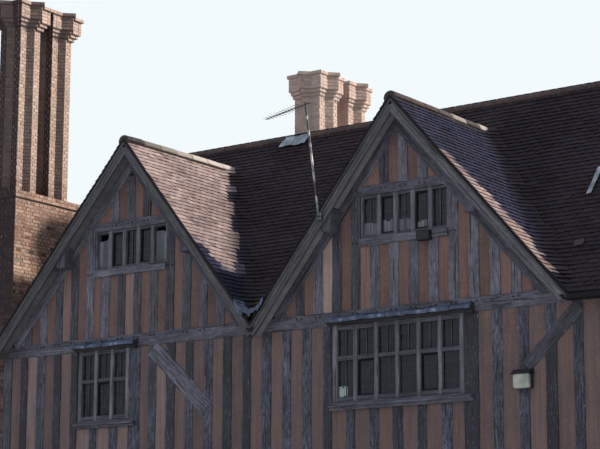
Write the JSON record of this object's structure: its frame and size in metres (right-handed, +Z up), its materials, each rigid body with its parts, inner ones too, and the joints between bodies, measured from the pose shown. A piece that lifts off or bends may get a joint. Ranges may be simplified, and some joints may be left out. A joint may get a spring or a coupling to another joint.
{
  "type": "half timbered house",
  "caption": "Close-studded timber house with front gables, mullioned windows, clay-tiled roofs and star-plan brick chimney stacks.",
  "frame": {"origin": "on the ground, under the main ridge, at the middle of the front wall's length", "axes": "+X along the front wall to the right as seen from outside, +Y from the front wall into the house, +Z up"},
  "size_m": [17.161, 7.2015, 13.2288],
  "materials": {
    "brick": "weathered soft red brick in lime mortar",
    "oak": "unpainted oak, silvered and streaked",
    "plaster": "limewashed lime plaster, terracotta pink",
    "roof_tile": "hand-made plain clay tiles, weathered",
    "ridge_tile": "half-round clay ridge tiles bedded in mortar",
    "lead": "dull milled sheet lead",
    "floor_boards": "oak floorboards",
    "floor_brick": "brick pavers",
    "leaded_glass": "old leaded glass",
    "window_oak": "weathered oak window frames",
    "window_iron": "black painted wrought iron",
    "window_board": "grey painted boards",
    "door_oak": "oiled oak planks",
    "lamp_body": "black moulded lamp housing",
    "lamp_glass": "ribbed pressed glass",
    "galvanised": "dull galvanised tube",
    "aerial_alloy": "weathered aluminium",
    "cover_metal": "dark painted steel plate"
  },
  "bodies": {
    "root": {"long_plinths": "brick", "end_plinths": "brick", "ground_floor": "floor_brick", "first_floor": "floor_boards", "attic_floor": "floor_boards", "front_beams": "oak", "back_beams": "oak", "end_beams": "oak", "corner_posts": "oak", "front_wall_studs": "oak", "back_wall_studs": "oak", "end_wall_studs": "oak", "braces": "oak", "front_wall_infill": "plaster", "back_wall_infill": "plaster", "end_wall_infill": "plaster", "front_gable_frames": "oak", "front_gable_infill": "plaster", "end_gable_frames": "oak", "end_gable_infill": "plaster", "main_roof_front": "roof_tile", "main_roof_back": "roof_tile", "left_gable_roof": "roof_tile", "right_gable_roof": "roof_tile", "ridge_tiles": "ridge_tile", "bargeboards": "oak", "lead_work": "lead", "front_window_frames": "window_oak", "gable_window_frames": "window_oak", "plain_window_frames": "window_oak", "window_glass": "leaded_glass", "iron_casements": "window_iron", "boarded_lights": "window_board", "window_sills": "oak", "window_hoods": "lead", "plank_door": "door_oak", "left_stack_base": "brick", "left_stack_shafts": "brick", "centre_stack_base": "brick", "centre_stack_shafts": "brick", "flue_covers": "cover_metal", "outside_lights": "lamp_body", "light_glass": "lamp_glass", "aerial_mast": "galvanised", "aerial": "aerial_alloy"}
  },
  "joints": []
}
